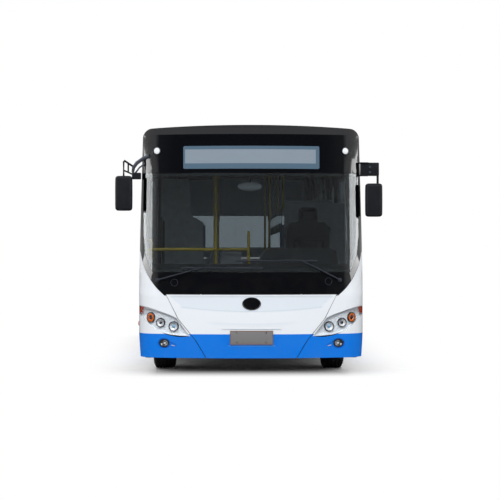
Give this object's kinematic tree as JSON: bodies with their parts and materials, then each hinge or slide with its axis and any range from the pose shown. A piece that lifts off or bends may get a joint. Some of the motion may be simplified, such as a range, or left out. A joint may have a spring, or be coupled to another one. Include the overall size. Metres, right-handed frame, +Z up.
{
  "type": "low-entry city bus",
  "caption": "Low-entry city bus with a bowed glass nose, blank destination display, swing doors, steering front wheels and twin rear wheels, for street and transport scenes.",
  "frame": {"origin": "on the ground, under the middle of the body's bounding box", "axes": "-Y out of the nose, +X towards the driver's side, +Z up"},
  "size_m": [2.979, 10.508, 3.0553],
  "materials": {
    "body_white": "gloss",
    "body_blue": "gloss",
    "roof_shell": "satin",
    "mask_black": "gloss",
    "glass": "gloss",
    "door_frame": "satin",
    "sign": "gloss",
    "lamp_clear": "gloss",
    "lamp_red": "gloss",
    "trim_black": "matte",
    "seat_dark": "matte",
    "seat_blue": "satin",
    "fare_box": "satin",
    "rail_yellow": "gloss",
    "partition": "satin",
    "floor": "matte",
    "frame": "matte",
    "engine": "matte",
    "axle": "satin",
    "bellows": "matte",
    "liner": "matte",
    "tyre": "matte",
    "rim": "satin"
  },
  "bodies": {
    "body": {"floor_deck": "floor", "chassis_frame": "frame", "body_frame": "frame", "engine_block": "engine", "front_axle_beam": "axle", "rear_axle": "axle", "air_springs": "bellows", "wheel_housings": "liner", "side_wall_left": "body_white", "side_wall_right": "body_white", "roof_panel": "body_white", "rear_wall": "body_white", "front_corner_left": "body_white", "front_corner_right": "body_white", "rear_bumper": "body_blue", "roof_ac_unit": "roof_shell", "roof_hatches": "roof_shell", "front_mask": "mask_black", "windscreen": "glass", "side_glass_left": "glass", "side_glass_right": "glass", "rear_glass": "glass", "destination_sign": "sign", "marker_lamps": "lamp_clear", "headlamps": "lamp_clear", "fog_lamps": "lamp_clear", "rear_lamps": "lamp_red", "dashboard": "trim_black", "steering_column": "trim_black", "driver_seat": "seat_dark", "fare_box": "fare_box", "handrails": "rail_yellow", "partitions": "partition", "seats_left": "seat_blue", "seats_right": "seat_blue", "mirror_left": "trim_black", "mirror_right": "trim_black", "wipers": "trim_black"},
    "front_flap": {"front_flap": "body_white"},
    "engine_lid": {"engine_lid": "body_blue"},
    "door_leaf_front_a": {"door_front_a": "door_frame", "door_glass_front_a": "glass"},
    "door_leaf_front_b": {"door_front_b": "door_frame", "door_glass_front_b": "glass"},
    "door_leaf_middle_a": {"door_middle_a": "door_frame", "door_glass_middle_a": "glass"},
    "door_leaf_middle_b": {"door_middle_b": "door_frame", "door_glass_middle_b": "glass"},
    "knuckle_left": {"knuckle_left": "axle"},
    "knuckle_right": {"knuckle_right": "axle"},
    "wheel_front_left": {"tyre_front_left": "tyre", "rim_front_left": "rim"},
    "wheel_front_right": {"tyre_front_right": "tyre", "rim_front_right": "rim"},
    "wheels_rear_left": {"tyres_rear_left": "tyre", "rims_rear_left": "rim"},
    "wheels_rear_right": {"tyres_rear_right": "tyre", "rims_rear_right": "rim"},
    "steering_wheel": {"steering_wheel": "trim_black"}
  },
  "joints": [
    {"name": "front_flap_lift", "type": "hinge", "parent": "body", "child": "front_flap", "pos_m": [0, -5.14, 1.2], "axis": [-1, 0, 0], "range_deg": [0, 65]},
    {"name": "engine_lid_lift", "type": "hinge", "parent": "body", "child": "engine_lid", "pos_m": [0, 5.246, 1.328], "axis": [1, 0, 0], "range_deg": [0, 80]},
    {"name": "door_leaf_front_a_swing", "type": "hinge", "parent": "body", "child": "door_leaf_front_a", "pos_m": [-1.205, -4.588, 0.39], "axis": [0, 0, -1], "range_deg": [0, 90]},
    {"name": "door_leaf_front_b_swing", "type": "hinge", "parent": "body", "child": "door_leaf_front_b", "pos_m": [-1.205, -3.592, 0.39], "axis": [0, 0, 1], "range_deg": [0, 90]},
    {"name": "door_leaf_middle_a_swing", "type": "hinge", "parent": "body", "child": "door_leaf_middle_a", "pos_m": [-1.205, 0.202, 0.39], "axis": [0, 0, -1], "range_deg": [0, 90]},
    {"name": "door_leaf_middle_b_swing", "type": "hinge", "parent": "body", "child": "door_leaf_middle_b", "pos_m": [-1.205, 1.198, 0.39], "axis": [0, 0, 1], "range_deg": [0, 90]},
    {"name": "steer_left", "type": "hinge", "parent": "body", "child": "knuckle_left", "pos_m": [-0.86, -2.85, 0.48], "axis": [0, 0, 1], "range_deg": [-40, 40]},
    {"name": "steer_right", "type": "hinge", "parent": "body", "child": "knuckle_right", "pos_m": [0.86, -2.85, 0.48], "axis": [0, 0, 1], "range_deg": [-40, 40]},
    {"name": "roll_front_left", "type": "hinge", "parent": "knuckle_left", "child": "wheel_front_left", "pos_m": [-1.05, -2.85, 0.478], "axis": [1, 0, 0], "continuous": true},
    {"name": "roll_front_right", "type": "hinge", "parent": "knuckle_right", "child": "wheel_front_right", "pos_m": [1.05, -2.85, 0.478], "axis": [1, 0, 0], "continuous": true},
    {"name": "roll_rear_left", "type": "hinge", "parent": "body", "child": "wheels_rear_left", "pos_m": [-0.915, 2.35, 0.478], "axis": [1, 0, 0], "continuous": true},
    {"name": "roll_rear_right", "type": "hinge", "parent": "body", "child": "wheels_rear_right", "pos_m": [0.915, 2.35, 0.478], "axis": [1, 0, 0], "continuous": true},
    {"name": "steering_wheel_turn", "type": "hinge", "parent": "body", "child": "steering_wheel", "pos_m": [0.718, -4.49685, 1.21702], "axis": [0, 0.3786, 0.9255], "range_deg": [-720, 720]}
  ],
  "couplings": [
    {"joint": "steer_right", "follows": "steer_left", "ratio": 1},
    {"joint": "steering_wheel_turn", "follows": "steer_left", "ratio": -18}
  ]
}
